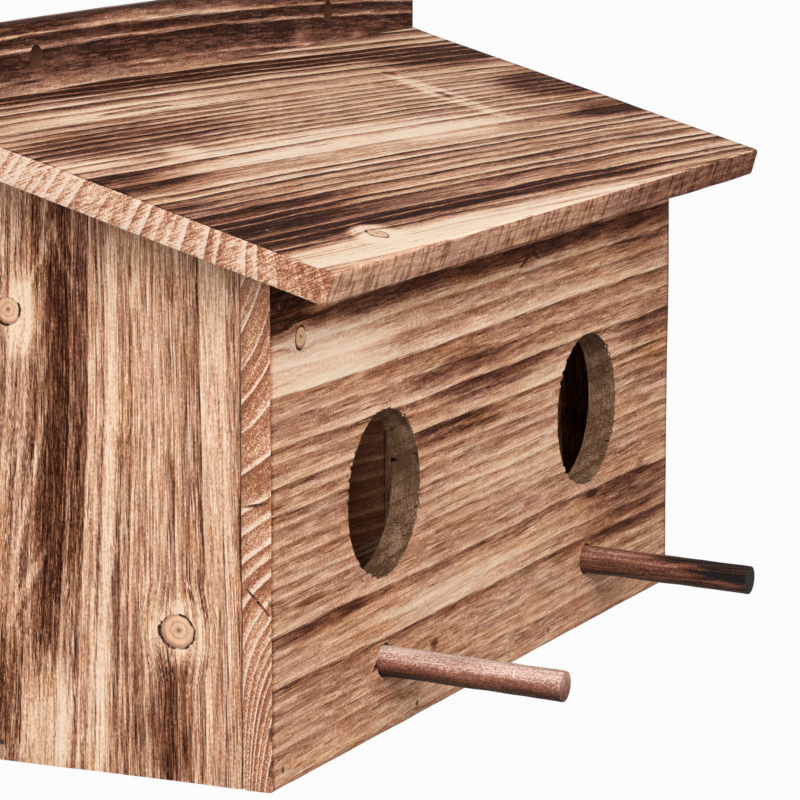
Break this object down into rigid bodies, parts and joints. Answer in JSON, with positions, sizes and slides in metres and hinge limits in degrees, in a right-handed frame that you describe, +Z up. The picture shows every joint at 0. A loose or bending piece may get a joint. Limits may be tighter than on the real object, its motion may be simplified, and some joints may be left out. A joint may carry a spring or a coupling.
{
  "type": "hanging nest box",
  "caption": "Wide wooden nest box of flame-browned boards: round entrances and dowel perches in its front, a roof sloping down to the front, and a tall back panel with hanging holes.",
  "frame": {"origin": "middle of the underside of the floor panel", "axes": "+X to the right seen from the front, +Y to the back, towards the wall that it hangs on, +Z up"},
  "size_m": [0.341, 0.1751, 0.2138],
  "materials": {
    "front_board": "flamed and brushed, matt",
    "side_boards": "flamed and brushed, matt",
    "back_board": "deeply flamed, matt",
    "floor_board": "sawn, matt",
    "roof_board": "flamed and brushed, matt",
    "perch_dowels": "turned and flamed, satin"
  },
  "bodies": {
    "root": {"front_panel": "front_board", "left_side_panel": "side_boards", "right_side_panel": "side_boards", "back_panel": "back_board", "floor_panel": "floor_board", "roof_panel": "roof_board", "left_perch": "perch_dowels", "right_perch": "perch_dowels"}
  },
  "joints": []
}
